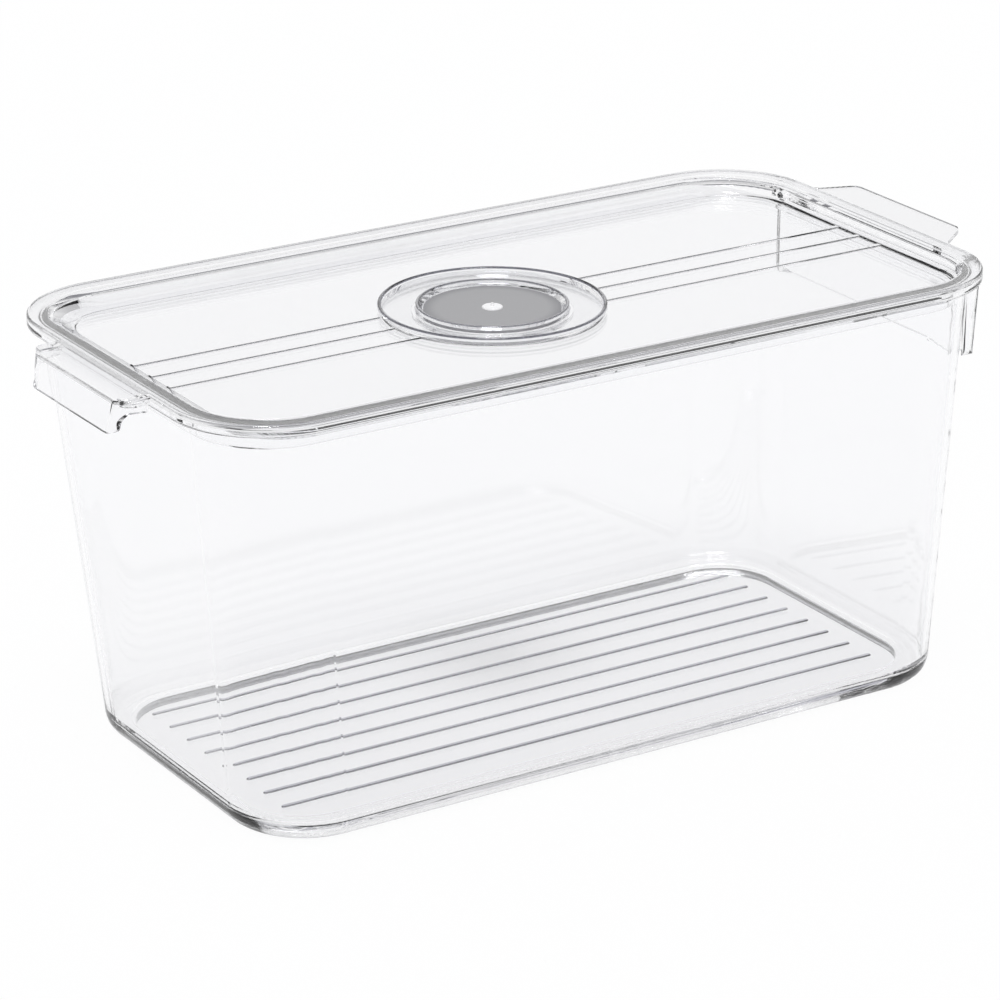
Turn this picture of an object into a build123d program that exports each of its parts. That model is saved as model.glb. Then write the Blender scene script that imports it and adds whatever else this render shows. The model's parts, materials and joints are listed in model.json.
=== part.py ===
import os
from math import degrees

from build123d import *

os.makedirs("parts", exist_ok=True)

# A clear storage bin with a lift-off lid, in millimetres.
# The origin is on the table below the middle of the lid, and +X points to the pull grip.

# Bin: the rim, and the wall below it, which leans out from a foot that is off centre
rimLength = 318.0
rimWidth = 167.2
rimCorner = 34.9
rimThickness = 2.2
rimOverhang = 5.4
rimInnerRound = 1.0
rimRootRound = 1.8
rimEdgeRound = 0.7
binHeight = 153.6
wallLeanLength = 10.6
wallLeanWidth = 7.0
wallBaseShift = 5.0
wallCorner = 30.0
wallThickness = 2.4
baseRound = 7.5
cavityRound = 4.0

# Floor: a sunk panel inside a narrow ledge, ribs that keep the food off it, a foot ring below
footHeight = 3.0
footRecessInset = 1.6
floorThickness = 1.9
ledgeHeight = 0.9
ledgeEndWidth = 7.5
ledgeSideWidth = 11.5
sunkCorner = 23.8
ribEndGap = 12.5
ribSetback = 2.2
ribWidth = 1.8
ribHeight = 0.5
ribRound = 0.35
ribPitch = 12.93
ribCount = 8

# Pull grip: a skirt that hangs from the rim at one end
gripHalfWidth = 57.0
gripDrop = 34.4
gripOverhang = 5.3
gripLean = 2.5
gripRootInset = 3.5
gripThickness = 2.0
gripCorner = 5.5
gripLowerRound = 4.0
gripShoulderRound = 4.5

# Lid: the flange lies on the rim, and the recessed panel has three ridges along it
flangeThickness = 2.0
flangeTopWidth = 6.7
flangeRound = 1.0
recessStep = 0.9
recessStepWidth = 0.6
panelDepth = 7.0
panelThickness = 2.1
panelEndSlope = 6.3
panelSideSlope = 5.3
panelMargin = 0.5
panelCorner = 21.0
panelShift = 4.0
panelRound = 1.5
skirtGap = 1.2
skirtThickness = 1.8
skirtDepth = 8.7
ridgePitch = 12.9
ridgeCount = 3
ridgeWidth = 2.6
ridgeHeight = 0.45
ridgeRound = 0.4

# End tabs of the lid: a turned-down finger grip at one end and a flat lift tab at the other
tabLength = 12.8
tabOverlap = 2.0
tabThickness = 1.7
tabCorner = 5.0
tabEdgeRound = 0.6
tabGap = 0.4
gripTabSink = 1.5
gripTabSlopeStart = 1.0
gripTabSlope = 5.5
gripTabSlopeRound = 12.0
gripTabSlopeFoot = 3.0
gripTabHeight = 11.5
gripTabSideHeight = 4.6
gripTabLipDepth = 3.2
gripTabFlare = 1.9
gripTabSideFlare = 2.0
gripTabRootHalf = 34.0
gripTabTipHalf = 31.5
gripTabTopCorner = 3.0
gripTabFootCorner = 8.0
gripTabSideRound = 4.0
gripTabLipRound = 6.0
gripTabBorderInner = 28.0
gripTabBorderWidth = 5.5
gripTabBorderRise = 0.6
gripTabBorderRound = 0.5
gripTabBorderEnd = 3.8
gripTabBorderStop = 1.5
flatTabRise = 0.8
flatTabSink = 0.4
flatTabCornerGap = 7.7
flatTabTaper = 10.0
flatTabThickness = 1.6
flatTabRootRound = 4.0

# Vent: a plate with a flared lip in the lid's panel, and a dial turning in its well
ventShift = -8.1
plateRadius = 38.9
plateThickness = 0.9
plateSeat = 0.7
lipRadius = 39.9
lipHeight = 2.6
lipWidth = 1.2
lipBand = 1.6
lipLean = 0.4
lipRound = 0.55
wellWall = 1.0
wellDepth = 2.5
wellFloor = 1.2
seatGap = 0.15
dialRadius = 26.7
dialGap = 0.4
dialWall = 2.3
dialSlope = 1.4
dialFloor = 1.3
dialHeight = 4.7
dialRound = 0.35
padGap = 0.4
padThickness = 1.3
portCount = 6
portReach = 13.5
portLength = 12.0
portWidth = 5.0
dialTravel = 30.0
stopReach = 23.0
stopRadius = 0.9
stopHeight = 0.9
stopGap = 0.35
pinRadius = 1.6
pinGap = 0.05
pinHeadRadius = 3.65
pinHeadHeight = 0.6
pinHeadRound = 0.5
pinNubRadius = 0.7
pinNubHeight = 1.1
pinNubTaper = 15.0
pinTailRadius = 2.6
pinTailHeight = 1.0

# Film of air between pieces that rest on each other
restGap = 0.1

# Positions closer than this are one
sameSpot = 0.01

# Bin sizes that follow from the sizes above
rimUnderside = binHeight - rimThickness
wallTopLength = rimLength - 2 * rimOverhang
wallTopWidth = rimWidth - 2 * rimOverhang
wallBaseLength = wallTopLength - 2 * wallLeanLength
wallBaseWidth = wallTopWidth - 2 * wallLeanWidth
floorTop = footHeight + floorThickness
ledgeTop = floorTop + ledgeHeight
sunkLength = wallBaseLength - 2 * ledgeEndWidth
sunkWidth = wallBaseWidth - 2 * ledgeSideWidth
ribLength = sunkLength - 2 * ribEndGap
gripBottom = rimUnderside - gripDrop
gripHollowTop = rimUnderside - gripThickness
gripTopReach = rimLength / 2 + gripOverhang
gripBottomReach = gripTopReach - gripLean
gripInnerReach = rimLength / 2 - gripRootInset

# Lid sizes that follow
lidSeat = binHeight + restGap
flangeTop = lidSeat + flangeThickness
recessLength = rimLength - 2 * (flangeTopWidth + recessStepWidth)
recessWidth = rimWidth - 2 * (flangeTopWidth + recessStepWidth)
recessCorner = rimCorner - flangeTopWidth - recessStepWidth
panelTop = flangeTop - panelDepth
panelUnderside = panelTop - panelThickness
panelLength = recessLength - 2 * panelEndSlope
panelWidth = recessWidth - 2 * panelSideSlope
skirtBottom = lidSeat - skirtDepth
skirtInset = wallThickness + skirtGap
skirtLength = wallTopLength - 2 * skirtInset
skirtWidth = wallTopWidth - 2 * skirtInset
skirtCorner = wallCorner - skirtInset
slopeTop = lidSeat - flangeThickness
slopeLength = skirtLength - skirtThickness
slopeWidth = skirtWidth - skirtThickness
slopeCorner = skirtCorner - skirtThickness / 2
tabReach = rimLength / 2 + tabLength
tabRoot = rimLength / 2 - tabOverlap
flatTabRootHalf = rimWidth / 2 - rimCorner - flatTabCornerGap
flatTabTipHalf = flatTabRootHalf - flatTabTaper
flatTabTop = flangeTop - flatTabSink
flatTabTipTop = flangeTop + flatTabRise
ridgeTop = panelTop + ridgeHeight
gripTabTop = flangeTop - gripTabSink
gripTabBottom = gripTabTop - gripTabHeight
gripTabSideBottom = gripTabTop - gripTabSideHeight
gripTabCrease = -rimLength / 2 - gripTabSlope
gripTabBorderTop = gripTabTop + gripTabBorderRise
gripTabHollowTop = gripTabTop - tabThickness
gripTabInnerEnd = -rimLength / 2 - tabGap
gripTabLipInner = gripTabLipDepth - tabReach

# Vent sizes that follow
wellRadius = dialRadius + dialGap
plateTop = panelTop - plateSeat + restGap + plateThickness
plateUnderside = plateTop - plateThickness
lipTop = plateTop + lipHeight
lipStart = panelTop + restGap
lipInner = lipRadius - lipWidth
wellFloorTop = plateTop - wellDepth
wellUnderside = wellFloorTop - wellFloor
dialUnderside = wellFloorTop + restGap
dialFloorTop = dialUnderside + dialFloor
dialTop = dialUnderside + dialHeight
dialBore = dialRadius - dialWall
padRadius = dialBore - padGap
padUnderside = dialFloorTop + restGap
padTop = padUnderside + padThickness
pinBore = pinRadius + pinGap
pinTailTop = wellUnderside - restGap
pinHeadTop = padTop + pinHeadHeight
stopAngle = degrees((stopRadius + stopGap) / stopReach)


def roundedOutline(length, width, corner, shift, height):
    """Draws a rounded rectangle at a height, with its middle shifted along X."""
    with BuildSketch(Plane((shift, 0, height))) as outline:
        RectangleRounded(length, width, corner)
    return outline.sketch


def wallOutline(height, inset):
    """Draws the leaning wall's outline at a height, moved in by an inset."""
    share = height / rimUnderside
    length = wallBaseLength + share * (wallTopLength - wallBaseLength)
    width = wallBaseWidth + share * (wallTopWidth - wallBaseWidth)
    shift = wallBaseShift * (1 - share)
    return roundedOutline(length - 2 * inset, width - 2 * inset, wallCorner - inset, shift, height)


def gripOutline(height, inset):
    """Draws the pull grip seen from above at a height, or its hollow, moved in by an inset."""
    share = (height - gripBottom) / (rimUnderside - gripBottom)
    reach = gripBottomReach + share * (gripTopReach - gripBottomReach) - inset
    root = gripInnerReach - inset
    half = gripHalfWidth - inset
    with BuildSketch(Plane.XY.offset(height)) as outline:
        with Locations(((root + reach) / 2, 0)):
            Rectangle(reach - root, 2 * half)
        tips = [point for point in outline.vertices() if abs(point.X - reach) < sameSpot]
        fillet(tips, radius=gripCorner - inset)
    return outline.sketch


def tabPlan(height, root, reach, rootHalf, tipHalf, corner):
    """Draws an end tab seen from above; root and reach are negative for the -X end."""
    with BuildSketch(Plane.XY.offset(height)) as plan:
        with BuildLine():
            Polyline(
                (root, -rootHalf),
                (reach, -tipHalf),
                (reach, tipHalf),
                (root, rootHalf),
                close=True,
            )
        make_face()
        tips = [point for point in plan.vertices() if abs(point.X - reach) < sameSpot]
        fillet(tips, radius=corner)
    return plan.sketch


def gripTabPlan(height, inset):
    """Draws the finger grip seen from above at a height, moved in by an inset."""
    share = (height - gripTabBottom) / (gripTabTop - gripTabBottom)
    reach = inset + share * gripTabFlare - tabReach
    sideInset = inset + share * gripTabSideFlare
    corner = gripTabFootCorner + share * (gripTabTopCorner - gripTabFootCorner)
    return tabPlan(
        height,
        -tabRoot,
        reach,
        gripTabRootHalf - sideInset,
        gripTabTipHalf - sideInset,
        corner - inset,
    )


def edgesAt(builder, height):
    """Picks a builder's edges that lie wholly at one height."""
    picked = ShapeList()
    for edge in builder.edges():
        box = edge.bounding_box()
        if abs(box.min.Z - height) < sameSpot and abs(box.max.Z - height) < sameSpot:
            picked.append(edge)
    return picked


# Cavity of the bin, with a rounded foot of its own and the sunk floor below it
with BuildPart() as cavity:
    loft([wallOutline(ledgeTop, wallThickness), wallOutline(binHeight, wallThickness)])
    fillet(edgesAt(cavity, ledgeTop), radius=cavityRound)
    with BuildSketch(Plane((wallBaseShift, 0, floorTop))):
        RectangleRounded(sunkLength, sunkWidth, sunkCorner)
    extrude(amount=ledgeHeight)

# Pull grip: a skirt with a rounded shoulder and a short return at each end, open below
with BuildPart() as grip:
    loft([gripOutline(gripBottom, 0), gripOutline(rimUnderside, 0)])
    shoulder = edgesAt(grip, rimUnderside).filter_by(
        lambda edge: edge.center().X > gripInnerReach + sameSpot
    )
    fillet(shoulder, radius=gripShoulderRound)
    loft(
        [gripOutline(gripBottom, gripThickness), gripOutline(gripHollowTop, gripThickness)],
        mode=Mode.SUBTRACT,
    )
    # Its lower corners are rounded
    with BuildSketch(Plane.YZ.offset(gripInnerReach)) as gripFront:
        with Locations((0, (gripBottom + rimUnderside) / 2)):
            Rectangle(2 * gripHalfWidth, rimUnderside - gripBottom)
        fillet(gripFront.vertices().group_by(Axis.Y)[0], radius=gripLowerRound)
    extrude(amount=gripTopReach - gripInnerReach, mode=Mode.INTERSECT)

# Rim: rounded below its outer edge, apart from the stretch that carries the pull grip
with BuildPart() as rim:
    with BuildSketch(Plane.XY.offset(rimUnderside)):
        RectangleRounded(rimLength, rimWidth, rimCorner)
    extrude(amount=rimThickness)
    fillet(edgesAt(rim, rimUnderside), radius=rimEdgeRound)
    with BuildSketch(Plane.XY.offset(rimUnderside)):
        RectangleRounded(rimLength, rimWidth, rimCorner)
        with Locations((rimLength / 2, 0)):
            Rectangle(2 * rimCorner, 2 * gripHalfWidth, mode=Mode.INTERSECT)
    extrude(amount=rimThickness)

# Ribs on the bin's floor
with BuildPart() as ribs:
    with BuildSketch(Plane((wallBaseShift - ribSetback, 0, floorTop))):
        with GridLocations(0, ribPitch, 1, ribCount):
            SlotOverall(ribLength, ribWidth)
    extrude(amount=ribHeight)
    fillet(edgesAt(ribs, floorTop + ribHeight), radius=ribRound)

# Bin body: leaning walls under a flat rim
with BuildPart() as bin_body:
    loft([wallOutline(0, 0), wallOutline(rimUnderside, 0)])
    fillet(edgesAt(bin_body, 0), radius=baseRound)
    add(rim.part)
    rimUnder = bin_body.faces().filter_by_position(
        Axis.Z, rimUnderside - sameSpot, rimUnderside + sameSpot
    )[0]
    fillet(rimUnder.inner_wires()[0].edges(), radius=rimRootRound)
    add(grip.part)
    with BuildSketch(Plane.XY.offset(gripHollowTop)):
        with Locations((gripInnerReach - wallThickness, 0)):
            Rectangle(2 * wallThickness, 2 * gripHalfWidth)
    extrude(amount=gripThickness)
    add(cavity.part, mode=Mode.SUBTRACT)

    # Recess under the floor, which leaves the foot ring
    with BuildSketch(Plane((wallBaseShift, 0, 0))):
        RectangleRounded(
            sunkLength - 2 * footRecessInset,
            sunkWidth - 2 * footRecessInset,
            sunkCorner - footRecessInset,
        )
    extrude(amount=footHeight, mode=Mode.SUBTRACT)

    add(ribs.part)

    # Rounded edge where the wall flows into the rim
    rimTop = bin_body.faces().sort_by(Axis.Z)[-1]
    fillet(rimTop.inner_wires()[0].edges(), radius=rimInnerRound)
bin_body.part.label = "bin_body"

# Recess of the lid: a small step at the top, then sides that slope to the panel
with BuildPart() as recess:
    loft([
        roundedOutline(panelLength, panelWidth, panelCorner, panelShift, panelTop),
        roundedOutline(recessLength, recessWidth, recessCorner, 0, flangeTop - recessStep),
    ])
    fillet(edgesAt(recess, panelTop), radius=panelRound)
    with BuildSketch(Plane.XY.offset(flangeTop - recessStep)):
        RectangleRounded(
            rimLength - 2 * flangeTopWidth,
            rimWidth - 2 * flangeTopWidth,
            rimCorner - flangeTopWidth,
        )
    extrude(amount=recessStep)

# Raised borders along the two sides of the finger grip's tray
with BuildPart() as borders:
    borderLength = tabReach - gripTabFlare - gripTabBorderStop - tabRoot
    with BuildSketch(Plane.XY.offset(gripTabHollowTop)) as borderPlan:
        for side in (-1, 1):
            middle = side * (gripTabBorderInner + gripTabBorderWidth / 2)
            with Locations((-tabRoot - borderLength / 2, middle)):
                Rectangle(borderLength, gripTabBorderWidth)
        outerEnds = borderPlan.vertices().group_by(Axis.X)[0].filter_by(
            lambda point: abs(point.Y) > gripTabBorderInner + sameSpot
        )
        fillet(outerEnds, radius=gripTabBorderEnd)
    extrude(amount=gripTabBorderTop - gripTabHollowTop)
    fillet(edgesAt(borders, gripTabBorderTop), radius=gripTabBorderRound)
    # Room for the bin's rim
    with BuildSketch(Plane.XY.offset(gripTabHollowTop)):
        with Locations(((gripTabInnerEnd - tabRoot) / 2, 0)):
            Rectangle(-tabRoot - gripTabInnerEnd, 2 * gripTabRootHalf)
    extrude(amount=lidSeat - gripTabHollowTop, mode=Mode.SUBTRACT)

# Finger grip at the lid's -X end: a flared tray, open below, with a deep lip at its tip
with BuildPart() as gripTab:
    loft([gripTabPlan(gripTabBottom, 0), gripTabPlan(gripTabTop, 0)])
    rimEdges = edgesAt(gripTab, gripTabTop).filter_by(lambda edge: edge.center().X < -tabRoot - sameSpot)
    fillet(rimEdges, radius=tabEdgeRound)
    loft(
        [gripTabPlan(gripTabBottom, tabThickness), gripTabPlan(gripTabHollowTop, tabThickness)],
        mode=Mode.SUBTRACT,
    )
    # The side walls are shallow between the lip and the bin's rim
    with BuildSketch(Plane.XZ.offset(-gripTabRootHalf)) as sideCut:
        with BuildLine():
            Polyline(
                (gripTabLipInner, gripTabBottom),
                (gripTabLipInner, gripTabSideBottom),
                (gripTabInnerEnd, gripTabSideBottom),
                (gripTabInnerEnd, lidSeat),
                (-tabRoot, lidSeat),
                (-tabRoot, gripTabBottom),
                close=True,
            )
        make_face()
        innerCorner = [
            point
            for point in sideCut.vertices()
            if abs(point.X - gripTabLipInner) < sameSpot and abs(point.Y - gripTabSideBottom) < sameSpot
        ]
        fillet(innerCorner, radius=gripTabSideRound)
    extrude(amount=2 * gripTabRootHalf, mode=Mode.SUBTRACT)
    # The lip's lower corners are rounded
    with BuildSketch(Plane.YZ.offset(-tabReach)) as lipFront:
        with Locations((0, (gripTabBottom + flangeTop) / 2)):
            Rectangle(2 * gripTabTipHalf, flangeTop - gripTabBottom)
        fillet(lipFront.vertices().group_by(Axis.Y)[0], radius=gripTabLipRound)
        with Locations((0, (gripTabSideBottom + flangeTop) / 2)):
            Rectangle(2 * gripTabRootHalf, flangeTop - gripTabSideBottom)
    extrude(amount=tabReach - tabRoot, mode=Mode.INTERSECT)
    # Soft slope from the tray up to the flange, as thick as the tray
    with BuildSketch(Plane.XZ.offset(-gripTabBorderInner)):
        with BuildLine():
            Polyline(
                (gripTabCrease - gripTabSlopeFoot, gripTabHollowTop),
                (gripTabCrease - gripTabSlopeFoot, gripTabTop),
                (-tabRoot, gripTabTop),
                (-tabRoot, gripTabHollowTop),
                close=True,
            )
        make_face()
    extrude(amount=2 * gripTabBorderInner, mode=Mode.SUBTRACT)
    with BuildSketch(Plane.XZ.offset(-gripTabRootHalf + gripTabSideFlare)) as slope:
        with BuildLine():
            Polyline(
                (-tabRoot, flangeTop),
                (-rimLength / 2 - gripTabSlopeStart, flangeTop),
                (gripTabCrease, gripTabTop),
                (gripTabCrease - gripTabSlopeFoot, gripTabTop),
                (gripTabCrease - gripTabSlopeFoot, gripTabHollowTop),
                (gripTabCrease, gripTabHollowTop),
                (-rimLength / 2 - gripTabSlopeStart, lidSeat),
                (-tabRoot, lidSeat),
                close=True,
            )
        make_face()
        bends = slope.vertices().filter_by(
            lambda point: abs(point.X + rimLength / 2 + gripTabSlopeStart) < sameSpot
            or abs(point.X - gripTabCrease) < sameSpot
        )
        fillet(bends, radius=gripTabSlopeRound)
    extrude(amount=2 * (gripTabRootHalf - gripTabSideFlare))
    add(borders.part)

# Flat lift tab at the lid's +X end, which flares out of the flange
with BuildPart() as flatTab:
    with BuildSketch(Plane.XZ.offset(-rimWidth / 2)):
        with BuildLine():
            Polyline(
                (tabRoot, flatTabTop),
                (rimLength / 2, flatTabTop),
                (tabReach, flatTabTipTop),
                (tabReach, flatTabTipTop - flatTabThickness),
                (rimLength / 2, flatTabTop - flatTabThickness),
                (tabRoot, flatTabTop - flatTabThickness),
                close=True,
            )
        make_face()
    extrude(amount=rimWidth)
    with BuildSketch(Plane.XY.offset(lidSeat)) as flatTabPlan:
        with BuildLine():
            Polyline(
                (tabRoot, -flatTabRootHalf),
                (tabReach, -flatTabTipHalf),
                (tabReach, flatTabTipHalf),
                (tabRoot, flatTabRootHalf),
                close=True,
            )
        make_face()
        tips = flatTabPlan.vertices().group_by(Axis.X)[-1]
        fillet(tips, radius=tabCorner)
        RectangleRounded(rimLength, rimWidth, rimCorner)
        roots = [
            point
            for point in flatTabPlan.vertices()
            if abs(point.X - rimLength / 2) < sameSpot and abs(point.Y) < flatTabRootHalf
        ]
        fillet(roots, radius=flatTabRootRound)
    extrude(amount=flatTabTipTop - lidSeat, mode=Mode.INTERSECT)

# Ridges along the lid's panel, which stop at the vent plate's lip
with BuildPart() as ridges:
    with BuildSketch(Plane((panelShift, 0, panelTop))):
        with GridLocations(0, ridgePitch, 1, ridgeCount):
            Rectangle(panelLength + 2 * panelMargin, ridgeWidth)
    extrude(amount=ridgeHeight)
    fillet(edgesAt(ridges, ridgeTop), radius=ridgeRound)
    with BuildSketch(Plane((ventShift, 0, panelTop))):
        Circle(lipRadius + seatGap)
    extrude(amount=ridgeHeight, mode=Mode.SUBTRACT)

# Lid: flange, recessed panel and locating skirt
with BuildPart() as lid:
    with BuildSketch(Plane.XY.offset(lidSeat)):
        RectangleRounded(rimLength, rimWidth, rimCorner)
    extrude(amount=flangeThickness)
    fillet(edgesAt(lid, flangeTop), radius=flangeRound)
    add(gripTab.part)
    add(flatTab.part)

    # Skirt that drops inside the bin's wall
    with BuildSketch(Plane.XY.offset(skirtBottom)):
        RectangleRounded(skirtLength, skirtWidth, skirtCorner)
        RectangleRounded(
            skirtLength - 2 * skirtThickness,
            skirtWidth - 2 * skirtThickness,
            skirtCorner - skirtThickness,
            mode=Mode.SUBTRACT,
        )
    extrude(amount=lidSeat - skirtBottom)

    # Sloping sides, from the skirt down to the panel
    underside = roundedOutline(
        panelLength + 2 * panelMargin,
        panelWidth + 2 * panelMargin,
        panelCorner + panelMargin,
        panelShift,
        panelUnderside,
    )
    loft([underside, roundedOutline(slopeLength, slopeWidth, slopeCorner, 0, slopeTop)])
    with BuildSketch(Plane.XY.offset(slopeTop)):
        RectangleRounded(slopeLength, slopeWidth, slopeCorner)
    extrude(amount=lidSeat - slopeTop)
    add(recess.part, mode=Mode.SUBTRACT)

    add(ridges.part)

    # Seat and hole for the vent plate
    with BuildSketch(Plane((ventShift, 0, panelTop - plateSeat))):
        Circle(lipRadius + seatGap)
    extrude(amount=plateSeat, mode=Mode.SUBTRACT)
    with BuildSketch(Plane((ventShift, 0, panelUnderside))):
        Circle(wellRadius + wellWall + seatGap)
    extrude(amount=panelThickness, mode=Mode.SUBTRACT)
lid.part.label = "lid"

# Vent plate: a thin disc with a lip that flares up over the panel, and a well with air ports
with BuildPart() as vent_plate:
    with BuildSketch(Plane(origin=(ventShift, 0, 0), x_dir=(1, 0, 0), z_dir=(0, -1, 0))):
        with BuildLine():
            Polyline(
                (0, plateUnderside),
                (plateRadius, plateUnderside),
                (plateRadius, lipStart),
                (lipRadius, lipTop - lipBand),
                (lipRadius, lipTop),
                (lipInner, lipTop),
                (lipInner - lipLean, plateTop),
                (0, plateTop),
                close=True,
            )
        make_face()
    revolve(axis=Axis((ventShift, 0, 0), (0, 0, 1)))
    fillet(edgesAt(vent_plate, lipTop) + edgesAt(vent_plate, lipTop - lipBand), radius=lipRound)
    with BuildSketch(Plane((ventShift, 0, wellUnderside))):
        Circle(wellRadius + wellWall)
    extrude(amount=plateUnderside - wellUnderside)
    with BuildSketch(Plane((ventShift, 0, wellFloorTop))):
        Circle(wellRadius)
    extrude(amount=wellDepth, mode=Mode.SUBTRACT)
    with BuildSketch(Plane((ventShift, 0, wellUnderside))):
        with PolarLocations(portReach, portCount):
            SlotOverall(portLength, portWidth)
        Circle(pinBore)
    extrude(amount=wellFloor, mode=Mode.SUBTRACT)
    # Stop that meets the ends of the dial's slot
    with BuildSketch(Plane((ventShift, 0, wellFloorTop))):
        with Locations((stopReach, 0)):
            Circle(stopRadius)
    extrude(amount=stopHeight)
vent_plate.part.label = "vent_plate"

# Vent dial: a shallow cup that turns in the well and widens towards its mouth, shown closed
with BuildPart() as vent_dial:
    with BuildSketch(Plane((ventShift, 0, dialUnderside))):
        Circle(dialRadius)
    extrude(amount=dialHeight)
    with BuildSketch(Plane((ventShift, 0, dialFloorTop))):
        Circle(dialBore)
    extrude(amount=padTop - dialFloorTop, mode=Mode.SUBTRACT)
    with BuildSketch(Plane((ventShift, 0, padTop))) as coneFoot:
        Circle(dialBore)
    with BuildSketch(Plane((ventShift, 0, dialTop))) as coneMouth:
        Circle(dialBore + dialSlope)
    loft([coneFoot.sketch, coneMouth.sketch], mode=Mode.SUBTRACT)
    fillet(edgesAt(vent_dial, dialTop), radius=dialRound)
    with BuildSketch(Plane((ventShift, 0, dialUnderside))):
        with PolarLocations(portReach, portCount, start_angle=dialTravel):
            SlotOverall(portLength, portWidth)
        Circle(pinBore)
        with BuildLine():
            CenterArc((0, 0), stopReach, -dialTravel - stopAngle, dialTravel + 2 * stopAngle)
        trace(line_width=2 * (stopRadius + stopGap))
    extrude(amount=dialFloor, mode=Mode.SUBTRACT)
vent_dial.part.label = "vent_dial"

# Vent pad: the grey disc on the dial's floor
with BuildPart() as vent_pad:
    with BuildSketch(Plane((ventShift, 0, padUnderside))):
        Circle(padRadius)
        Circle(pinBore, mode=Mode.SUBTRACT)
    extrude(amount=padThickness)
vent_pad.part.label = "vent_pad"

# Pivot pin: a white head on the pad, a shank and a snapped-on tail below the well
with BuildPart() as pivot_pin:
    with BuildSketch(Plane((ventShift, 0, pinTailTop - pinTailHeight))):
        Circle(pinTailRadius)
    extrude(amount=pinTailHeight)
    with BuildSketch(Plane((ventShift, 0, pinTailTop))):
        Circle(pinRadius)
    extrude(amount=padTop - pinTailTop)
    with BuildSketch(Plane((ventShift, 0, padTop))):
        Circle(pinHeadRadius)
    extrude(amount=pinHeadHeight)
    fillet(edgesAt(pivot_pin, pinHeadTop), radius=pinHeadRound)
    with BuildSketch(Plane((ventShift, 0, pinHeadTop))):
        Circle(pinNubRadius)
    extrude(amount=pinNubHeight, taper=pinNubTaper)
pivot_pin.part.label = "pivot_pin"

for piece in (bin_body, lid, vent_plate, vent_dial, vent_pad, pivot_pin):
    export_step(piece.part, f"parts/{piece.part.label}.step")
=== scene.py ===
import json
import math

import bpy
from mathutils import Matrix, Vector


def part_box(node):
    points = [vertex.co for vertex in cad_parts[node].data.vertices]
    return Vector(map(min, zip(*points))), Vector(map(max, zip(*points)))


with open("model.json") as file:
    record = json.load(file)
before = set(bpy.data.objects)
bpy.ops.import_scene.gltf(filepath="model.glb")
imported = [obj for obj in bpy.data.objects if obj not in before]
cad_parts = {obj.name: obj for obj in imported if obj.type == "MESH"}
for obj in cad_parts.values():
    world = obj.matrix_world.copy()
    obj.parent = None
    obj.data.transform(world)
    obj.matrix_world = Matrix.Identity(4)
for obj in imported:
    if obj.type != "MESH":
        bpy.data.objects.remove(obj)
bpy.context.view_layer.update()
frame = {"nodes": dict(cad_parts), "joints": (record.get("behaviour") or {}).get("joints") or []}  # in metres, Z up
scene = bpy.context.scene
nodes = frame["nodes"]
print("frame loaded:", sorted(nodes))


# a long lens that looks down at the front and at the finger grip's end
cameraSettings = {
    "place": (-0.7477, -1.1828, 0.6150),
    "turnDegrees": (68.937, 0.0, -32.126),
    "lens": 152.6,
    "sensor": 36.0,
    "near": 0.01,
    "far": 30.0,
}


def makeCamera(settings):
    data = bpy.data.cameras.new("binCamera")
    data.lens = settings["lens"]
    data.sensor_width = settings["sensor"]
    data.clip_start = settings["near"]
    data.clip_end = settings["far"]
    camera = bpy.data.objects.new("binCamera", data)
    camera.location = settings["place"]
    camera.rotation_euler = [math.radians(angle) for angle in settings["turnDegrees"]]
    scene.collection.objects.link(camera)
    scene.camera = camera


makeCamera(cameraSettings)
print("camera placed")


def addMath(tree, operation):
    node = tree.nodes.new("ShaderNodeMath")
    node.operation = operation
    return node


def addVectorMath(tree, operation):
    node = tree.nodes.new("ShaderNodeVectorMath")
    node.operation = operation
    return node


def addColorMix(tree):
    node = tree.nodes.new("ShaderNodeMix")
    node.data_type = "RGBA"
    return node


def addSmoothRange(tree):
    node = tree.nodes.new("ShaderNodeMapRange")
    node.interpolation_type = "SMOOTHSTEP"
    return node


def addGroup(tree, group, values):
    node = tree.nodes.new("ShaderNodeGroup")
    node.node_tree = group
    for label, value in values.items():
        node.inputs[label].default_value = value
    return node


def newGroup(name, inputs, outputs):
    group = bpy.data.node_groups.new(name, "ShaderNodeTree")
    for label, kind in inputs:
        group.interface.new_socket(name=label, in_out="INPUT", socket_type=kind)
    for label, kind in outputs:
        group.interface.new_socket(name=label, in_out="OUTPUT", socket_type=kind)
    entry = group.nodes.new("NodeGroupInput")
    leave = group.nodes.new("NodeGroupOutput")
    return group, entry, leave


def newMaterial(name):
    material = bpy.data.materials.new(name)
    material.use_nodes = True
    tree = material.node_tree
    return material, tree, tree.nodes["Principled BSDF"]


# painted shade: clear plastic is made darker where its surface turns away from the eye, standing in for the dark
# lines that refraction draws along its edges
def makeEdgeTone():
    group, entry, leave = newGroup(
        "edgeTone",
        [
            ("Tint", "NodeSocketColor"),
            ("Edge Tint", "NodeSocketColor"),
            ("Facing", "NodeSocketFloat"),
            ("From", "NodeSocketFloat"),
            ("To", "NodeSocketFloat"),
        ],
        [("Color", "NodeSocketColor")],
    )
    span = addSmoothRange(group)
    mix = addColorMix(group)
    links = group.links
    links.new(entry.outputs["Facing"], span.inputs["Value"])
    links.new(entry.outputs["From"], span.inputs["From Min"])
    links.new(entry.outputs["To"], span.inputs["From Max"])
    links.new(span.outputs["Result"], mix.inputs["Factor"])
    links.new(entry.outputs["Tint"], mix.inputs["A"])
    links.new(entry.outputs["Edge Tint"], mix.inputs["B"])
    links.new(mix.outputs["Result"], leave.inputs["Color"])
    return group


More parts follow.
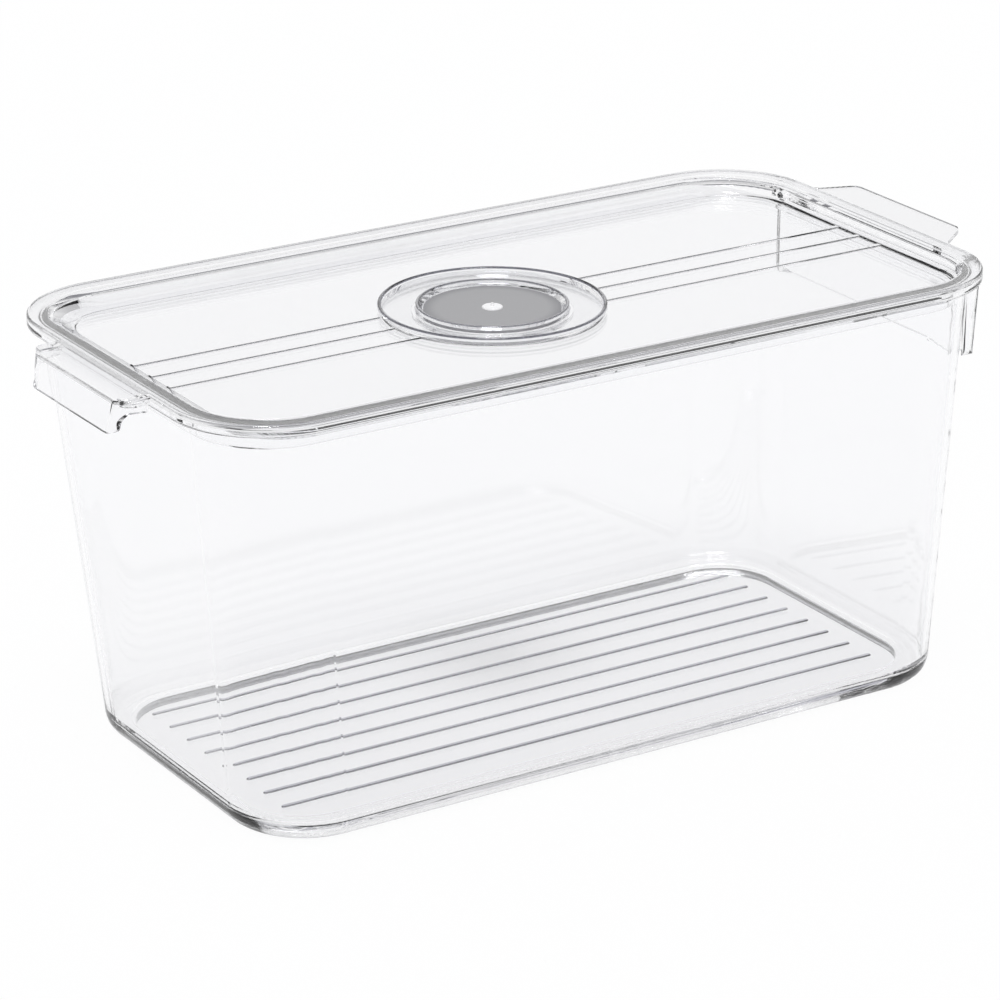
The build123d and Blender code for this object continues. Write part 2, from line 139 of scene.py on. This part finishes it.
# the faint waves and haze that a mould leaves in plastic
def makeMouldFlow():
    group, entry, leave = newGroup(
        "mouldFlow",
        [
            ("Scale", "NodeSocketFloat"),
            ("Strength", "NodeSocketFloat"),
            ("Depth", "NodeSocketFloat"),
            ("Roughness", "NodeSocketFloat"),
            ("Haze", "NodeSocketFloat"),
        ],
        [("Normal", "NodeSocketVector"), ("Roughness", "NodeSocketFloat")],
    )
    place = group.nodes.new("ShaderNodeTexCoord")
    noise = group.nodes.new("ShaderNodeTexNoise")
    bump = group.nodes.new("ShaderNodeBump")
    haze = addMath(group, "MULTIPLY_ADD")
    links = group.links
    links.new(place.outputs["Object"], noise.inputs["Vector"])
    links.new(entry.outputs["Scale"], noise.inputs["Scale"])
    links.new(entry.outputs["Strength"], bump.inputs["Strength"])
    links.new(entry.outputs["Depth"], bump.inputs["Distance"])
    links.new(noise.outputs["Fac"], bump.inputs["Height"])
    links.new(noise.outputs["Fac"], haze.inputs[0])
    links.new(entry.outputs["Haze"], haze.inputs[1])
    links.new(entry.outputs["Roughness"], haze.inputs[2])
    links.new(bump.outputs["Normal"], leave.inputs["Normal"])
    links.new(haze.outputs["Value"], leave.inputs["Roughness"])
    return group


# 1 inside a box in the piece's own space, fading to 0 at its faces
def makeBoxMask():
    group, entry, leave = newGroup(
        "boxMask",
        [
            ("Middle", "NodeSocketVector"),
            ("Half Size", "NodeSocketVector"),
            ("Softness", "NodeSocketFloat"),
        ],
        [("Mask", "NodeSocketFloat")],
    )
    place = group.nodes.new("ShaderNodeTexCoord")
    offset = addVectorMath(group, "SUBTRACT")
    size = addVectorMath(group, "ABSOLUTE")
    room = addVectorMath(group, "SUBTRACT")
    split = group.nodes.new("ShaderNodeSeparateXYZ")
    nearest = addMath(group, "MINIMUM")
    least = addMath(group, "MINIMUM")
    fade = group.nodes.new("ShaderNodeMapRange")
    links = group.links
    links.new(place.outputs["Object"], offset.inputs[0])
    links.new(entry.outputs["Middle"], offset.inputs[1])
    links.new(offset.outputs["Vector"], size.inputs[0])
    links.new(entry.outputs["Half Size"], room.inputs[0])
    links.new(size.outputs["Vector"], room.inputs[1])
    links.new(room.outputs["Vector"], split.inputs["Vector"])
    links.new(split.outputs["X"], nearest.inputs[0])
    links.new(split.outputs["Y"], nearest.inputs[1])
    links.new(nearest.outputs["Value"], least.inputs[0])
    links.new(split.outputs["Z"], least.inputs[1])
    links.new(least.outputs["Value"], fade.inputs["Value"])
    links.new(entry.outputs["Softness"], fade.inputs["From Max"])
    links.new(fade.outputs["Result"], leave.inputs["Mask"])
    return group


edgeTone = makeEdgeTone()
mouldFlow = makeMouldFlow()
boxMask = makeBoxMask()
print("node groups made")


def addFlow(tree, shader, settings):
    flow = addGroup(tree, mouldFlow, {
        "Scale": settings["flowScale"],
        "Strength": settings["flowStrength"],
        "Depth": settings["flowDepth"],
        "Roughness": settings["roughness"],
        "Haze": settings["haze"],
    })
    tree.links.new(flow.outputs["Normal"], shader.inputs["Normal"])
    tree.links.new(flow.outputs["Roughness"], shader.inputs["Roughness"])


# painted shade: a darker colour on the stretch of a piece that stands up from the rest of it, for the dark lines
# that refraction shows there
def addRaisedPaintedShade(tree, color, settings):
    mask = addGroup(tree, boxMask, {
        "Middle": settings["raisedMiddle"],
        "Half Size": settings["raisedHalfSize"],
        "Softness": settings["raisedSoftness"],
    })
    mix = addColorMix(tree)
    mix.inputs["B"].default_value = settings["raisedPaintedShade"]
    tree.links.new(mask.outputs["Mask"], mix.inputs["Factor"])
    tree.links.new(color, mix.inputs["A"])
    return mix.outputs["Result"]


def clearPlastic(name, settings):
    material, tree, shader = newMaterial(name)
    shader.inputs["IOR"].default_value = settings["ior"]
    shader.inputs["Transmission Weight"].default_value = 1.0
    # painted shade along the edges, where the surface turns away from the eye
    facing = tree.nodes.new("ShaderNodeLayerWeight")
    tone = addGroup(tree, edgeTone, {
        "Tint": settings["tint"],
        "Edge Tint": settings["paintedEdgeShade"],
        "From": settings["edgeFrom"],
        "To": settings["edgeTo"],
    })
    color = tone.outputs["Color"]
    # painted shade on the raised stretch, where the settings give one
    if "raisedPaintedShade" in settings:
        color = addRaisedPaintedShade(tree, color, settings)
    links = tree.links
    links.new(facing.outputs["Facing"], tone.inputs["Facing"])
    links.new(color, shader.inputs["Base Color"])
    addFlow(tree, shader, settings)
    # shadow rays and diffuse rays pass straight through, so that no light is counted twice
    path = tree.nodes.new("ShaderNodeLightPath")
    passing = addMath(tree, "MAXIMUM")
    clear = tree.nodes.new("ShaderNodeBsdfTransparent")
    clear.inputs["Color"].default_value = settings["shadowTint"]
    mix = tree.nodes.new("ShaderNodeMixShader")
    links.new(path.outputs["Is Shadow Ray"], passing.inputs[0])
    links.new(path.outputs["Is Diffuse Ray"], passing.inputs[1])
    links.new(passing.outputs["Value"], mix.inputs["Fac"])
    links.new(shader.outputs["BSDF"], mix.inputs[1])
    links.new(clear.outputs["BSDF"], mix.inputs[2])
    links.new(mix.outputs["Shader"], tree.nodes["Material Output"].inputs["Surface"])
    return material


# a grainy grey with painted shade near the disc's edge, where the cup's wall stands over it
def softPad(name, settings):
    material, tree, shader = newMaterial(name)
    shader.inputs["Roughness"].default_value = settings["roughness"]
    place = tree.nodes.new("ShaderNodeTexCoord")
    reach = addVectorMath(tree, "DISTANCE")
    reach.inputs[1].default_value = settings["middle"]
    # painted shade towards the disc's edge
    rim = addSmoothRange(tree)
    rim.inputs["From Min"].default_value = settings["shadeFrom"]
    rim.inputs["From Max"].default_value = settings["shadeTo"]
    tone = addColorMix(tree)
    tone.inputs["A"].default_value = settings["color"]
    tone.inputs["B"].default_value = settings["rimPaintedShade"]
    grain = tree.nodes.new("ShaderNodeTexNoise")
    grain.inputs["Scale"].default_value = settings["grainScale"]
    grain.inputs["Detail"].default_value = settings["grainDetail"]
    speck = tree.nodes.new("ShaderNodeMapRange")
    speck.inputs["To Min"].default_value = 1.0 - settings["grainShade"]
    speck.inputs["To Max"].default_value = 1.0 + settings["grainShade"]
    shade = addVectorMath(tree, "SCALE")
    bump = tree.nodes.new("ShaderNodeBump")
    bump.inputs["Strength"].default_value = settings["grainBump"]
    bump.inputs["Distance"].default_value = settings["grainDepth"]
    links = tree.links
    links.new(place.outputs["Object"], reach.inputs[0])
    links.new(reach.outputs["Value"], rim.inputs["Value"])
    links.new(rim.outputs["Result"], tone.inputs["Factor"])
    links.new(place.outputs["Object"], grain.inputs["Vector"])
    links.new(grain.outputs["Fac"], speck.inputs["Value"])
    links.new(tone.outputs["Result"], shade.inputs[0])
    links.new(speck.outputs["Result"], shade.inputs["Scale"])
    links.new(shade.outputs["Vector"], shader.inputs["Base Color"])
    links.new(grain.outputs["Fac"], bump.inputs["Height"])
    links.new(bump.outputs["Normal"], shader.inputs["Normal"])
    return material


def whitePlastic(name, settings):
    material, tree, shader = newMaterial(name)
    shader.inputs["Base Color"].default_value = settings["color"]
    addFlow(tree, shader, settings)
    return material


def dress(nodeName, material):
    node = nodes[nodeName]
    if not node.material_slots:
        node.data.materials.append(material)
    for slot in node.material_slots:
        slot.material = material


def topOf(nodeName):
    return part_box(nodeName)[1][2]


# the vent's round pieces share the axis that the dial turns on
ventX, ventY = next(joint["pos_m"][:2] for joint in frame["joints"] if joint["name"] == "dial_turn")

binSettings = {
    "ior": 1.5,
    "tint": (0.985, 0.986, 0.99, 1),
    # painted shade where the surface turns away from the eye
    "paintedEdgeShade": (0.70, 0.70, 0.755, 1),
    "edgeFrom": 0.75,
    "edgeTo": 1.0,
    "flowScale": 14.0,
    "flowStrength": 0.05,
    "flowDepth": 0.0005,
    "roughness": 0.012,
    "haze": 0.01,
    "shadowTint": (0.91, 0.91, 0.915, 1),
    "raisedPaintedShade": (0.30, 0.30, 0.35, 1),  # painted shade on the tops of the floor's ribs, for the grey lines seen there
    "raisedMiddle": (0.0028, 0.0, 0.00525),
    "raisedHalfSize": (0.1235, 0.0470, 0.00025),
    "raisedSoftness": 0.00008,
}

dress("bin_body", clearPlastic("binClear", binSettings))

lidSettings = {
    "ior": 1.5,
    "tint": (0.968, 0.969, 0.975, 1),
    # painted shade where the surface turns away from the eye
    "paintedEdgeShade": (0.62, 0.62, 0.68, 1),
    "edgeFrom": 0.75,
    "edgeTo": 1.0,
    "flowScale": 16.0,
    "flowStrength": 0.05,
    "flowDepth": 0.0005,
    "roughness": 0.012,
    "haze": 0.01,
    "shadowTint": (0.97, 0.97, 0.975, 1),
}

dress("lid", clearPlastic("lidClear", lidSettings))

plateSettings = {
    "ior": 1.5,
    "tint": (0.98, 0.981, 0.985, 1),
    # painted shade where the surface turns away from the eye
    "paintedEdgeShade": (0.45, 0.45, 0.51, 1),
    "edgeFrom": 0.6,
    "edgeTo": 1.0,
    "flowScale": 30.0,
    "flowStrength": 0.04,
    "flowDepth": 0.0003,
    "roughness": 0.012,
    "haze": 0.01,
    "shadowTint": (0.97, 0.97, 0.975, 1),
    "raisedPaintedShade": (0.05, 0.05, 0.065, 1),  # painted shade on the lip that flares up over the lid, for the dark ring seen round it
    "raisedMiddle": (ventX, ventY, topOf("vent_plate") - 0.00032),
    "raisedHalfSize": (0.0430, 0.0430, 0.00038),
    "raisedSoftness": 0.0001,
}

dress("vent_plate", clearPlastic("plateClear", plateSettings))

dialSettings = {
    "ior": 1.5,
    "tint": (0.975, 0.976, 0.98, 1),
    # painted shade where the surface turns away from the eye
    "paintedEdgeShade": (0.50, 0.50, 0.56, 1),
    "edgeFrom": 0.7,
    "edgeTo": 1.0,
    "flowScale": 40.0,
    "flowStrength": 0.04,
    "flowDepth": 0.0002,
    "roughness": 0.012,
    "haze": 0.01,
    "shadowTint": (0.97, 0.97, 0.975, 1),
    "raisedPaintedShade": (0.12, 0.12, 0.14, 1),  # painted shade on the top of the cup's wall, for the dark arcs seen along its rim
    "raisedMiddle": (ventX, ventY, topOf("vent_dial") - 0.0002),
    "raisedHalfSize": (0.0300, 0.0300, 0.00028),
    "raisedSoftness": 0.0001,
}

dress("vent_dial", clearPlastic("dialClear", dialSettings))

padSettings = {
    "color": (0.385, 0.385, 0.39, 1),
    # painted shade near the pad's edge, under the cup's wall
    "rimPaintedShade": (0.28, 0.28, 0.29, 1),
    "middle": (ventX, ventY, topOf("vent_pad")),
    "shadeFrom": 0.019,
    "shadeTo": 0.0245,
    "roughness": 0.75,
    "grainScale": 1500.0,
    "grainDetail": 6.0,
    "grainShade": 0.06,
    "grainBump": 0.2,
    "grainDepth": 0.0001,
}

dress("vent_pad", softPad("padGrey", padSettings))

pinSettings = {
    "color": (0.93, 0.93, 0.93, 1),
    "roughness": 0.3,
    "haze": 0.1,
    "flowScale": 300.0,
    "flowStrength": 0.1,
    "flowDepth": 0.0001,
}

dress("pivot_pin", whitePlastic("pinWhite", pinSettings))
print("materials assigned")


# the camera sees a white room, and the pieces see one that is dark overhead and at the camera's sides
worldSettings = {
    "paleColor": (1, 1, 1, 1),
    "darkColor": (0.08, 0.08, 0.105, 1),
    "darkFrom": 0.15,
    "darkTo": 0.95,
    "across": (0.848, -0.530, 0.0),
    "sideFrom": 0.55,
    "sideTo": 0.95,
    "sideShare": 0.5,
}


def makeWorld(settings):
    world = bpy.data.worlds.new("studio")
    scene.world = world
    world.use_nodes = True
    tree = world.node_tree
    background = tree.nodes["Background"]
    direction = tree.nodes.new("ShaderNodeTexCoord")
    split = tree.nodes.new("ShaderNodeSeparateXYZ")
    height = addSmoothRange(tree)
    height.inputs["From Min"].default_value = settings["darkFrom"]
    height.inputs["From Max"].default_value = settings["darkTo"]
    across = addVectorMath(tree, "DOT_PRODUCT")
    across.inputs[1].default_value = settings["across"]
    either = addMath(tree, "ABSOLUTE")
    side = addSmoothRange(tree)
    side.inputs["From Min"].default_value = settings["sideFrom"]
    side.inputs["From Max"].default_value = settings["sideTo"]
    side.inputs["To Max"].default_value = settings["sideShare"]
    most = addMath(tree, "MAXIMUM")
    path = tree.nodes.new("ShaderNodeLightPath")
    notCamera = addMath(tree, "SUBTRACT")
    notCamera.inputs[0].default_value = 1.0
    dark = addMath(tree, "MULTIPLY")
    color = addColorMix(tree)
    color.inputs["A"].default_value = settings["paleColor"]
    color.inputs["B"].default_value = settings["darkColor"]
    links = tree.links
    links.new(direction.outputs["Generated"], split.inputs["Vector"])
    links.new(split.outputs["Z"], height.inputs["Value"])
    links.new(direction.outputs["Generated"], across.inputs[0])
    links.new(across.outputs["Value"], either.inputs[0])
    links.new(either.outputs["Value"], side.inputs["Value"])
    links.new(height.outputs["Result"], most.inputs[0])
    links.new(side.outputs["Result"], most.inputs[1])
    links.new(path.outputs["Is Camera Ray"], notCamera.inputs[1])
    links.new(notCamera.outputs["Value"], dark.inputs[0])
    links.new(most.outputs["Value"], dark.inputs[1])
    links.new(dark.outputs["Value"], color.inputs["Factor"])
    links.new(color.outputs["Result"], background.inputs["Color"])


makeWorld(worldSettings)

# the glows are the floor's share of plain white, to the camera and through the plastic
floorSettings = {
    "size": 12.0,
    "drop": 0.0005,
    "color": (0.95, 0.95, 0.95, 1),
    "roughness": 0.9,
    "cameraGlow": 0.92,
    "plasticGlow": 0.6,
}


def makeFloor(settings):
    bpy.ops.object.select_all(action="DESELECT")
    bpy.ops.mesh.primitive_plane_add(size=settings["size"], location=(0, 0, -settings["drop"]))
    floor = bpy.context.object
    floor.name = "floor"
    material, tree, shader = newMaterial("floorWhite")
    shader.inputs["Base Color"].default_value = settings["color"]
    shader.inputs["Roughness"].default_value = settings["roughness"]
    glow = tree.nodes.new("ShaderNodeEmission")
    path = tree.nodes.new("ShaderNodeLightPath")
    bent = addMath(tree, "MAXIMUM")
    direct = addMath(tree, "MULTIPLY")
    direct.inputs[1].default_value = settings["cameraGlow"]
    share = addMath(tree, "MULTIPLY_ADD")
    share.inputs[1].default_value = settings["plasticGlow"]
    mix = tree.nodes.new("ShaderNodeMixShader")
    links = tree.links
    links.new(path.outputs["Is Glossy Ray"], bent.inputs[0])
    links.new(path.outputs["Is Transmission Ray"], bent.inputs[1])
    links.new(path.outputs["Is Camera Ray"], direct.inputs[0])
    links.new(bent.outputs["Value"], share.inputs[0])
    links.new(direct.outputs["Value"], share.inputs[2])
    links.new(share.outputs["Value"], mix.inputs["Fac"])
    links.new(shader.outputs["BSDF"], mix.inputs[1])
    links.new(glow.outputs["Emission"], mix.inputs[2])
    links.new(mix.outputs["Shader"], tree.nodes["Material Output"].inputs["Surface"])
    floor.data.materials.append(material)


makeFloor(floorSettings)

sunSettings = {
    "strength": 2.15,
    "turnDegrees": (12.0, -8.0, 0.0),
    "softDegrees": 20.0,
}


def makeSun(settings):
    data = bpy.data.lights.new("softSun", "SUN")
    data.energy = settings["strength"]
    data.angle = math.radians(settings["softDegrees"])
    sun = bpy.data.objects.new("softSun", data)
    sun.rotation_euler = [math.radians(angle) for angle in settings["turnDegrees"]]
    scene.collection.objects.link(sun)


makeSun(sunSettings)
print("studio ready")

# clear plastic turns black where a bounce limit cuts its light off
bounceSettings = {
    "all": 64,
    "transmission": 64,
    "glossy": 18,
    "transparent": 64,
}

scene.view_settings.view_transform = "Standard"
scene.cycles.max_bounces = bounceSettings["all"]
scene.cycles.transmission_bounces = bounceSettings["transmission"]
scene.cycles.glossy_bounces = bounceSettings["glossy"]
scene.cycles.transparent_max_bounces = bounceSettings["transparent"]
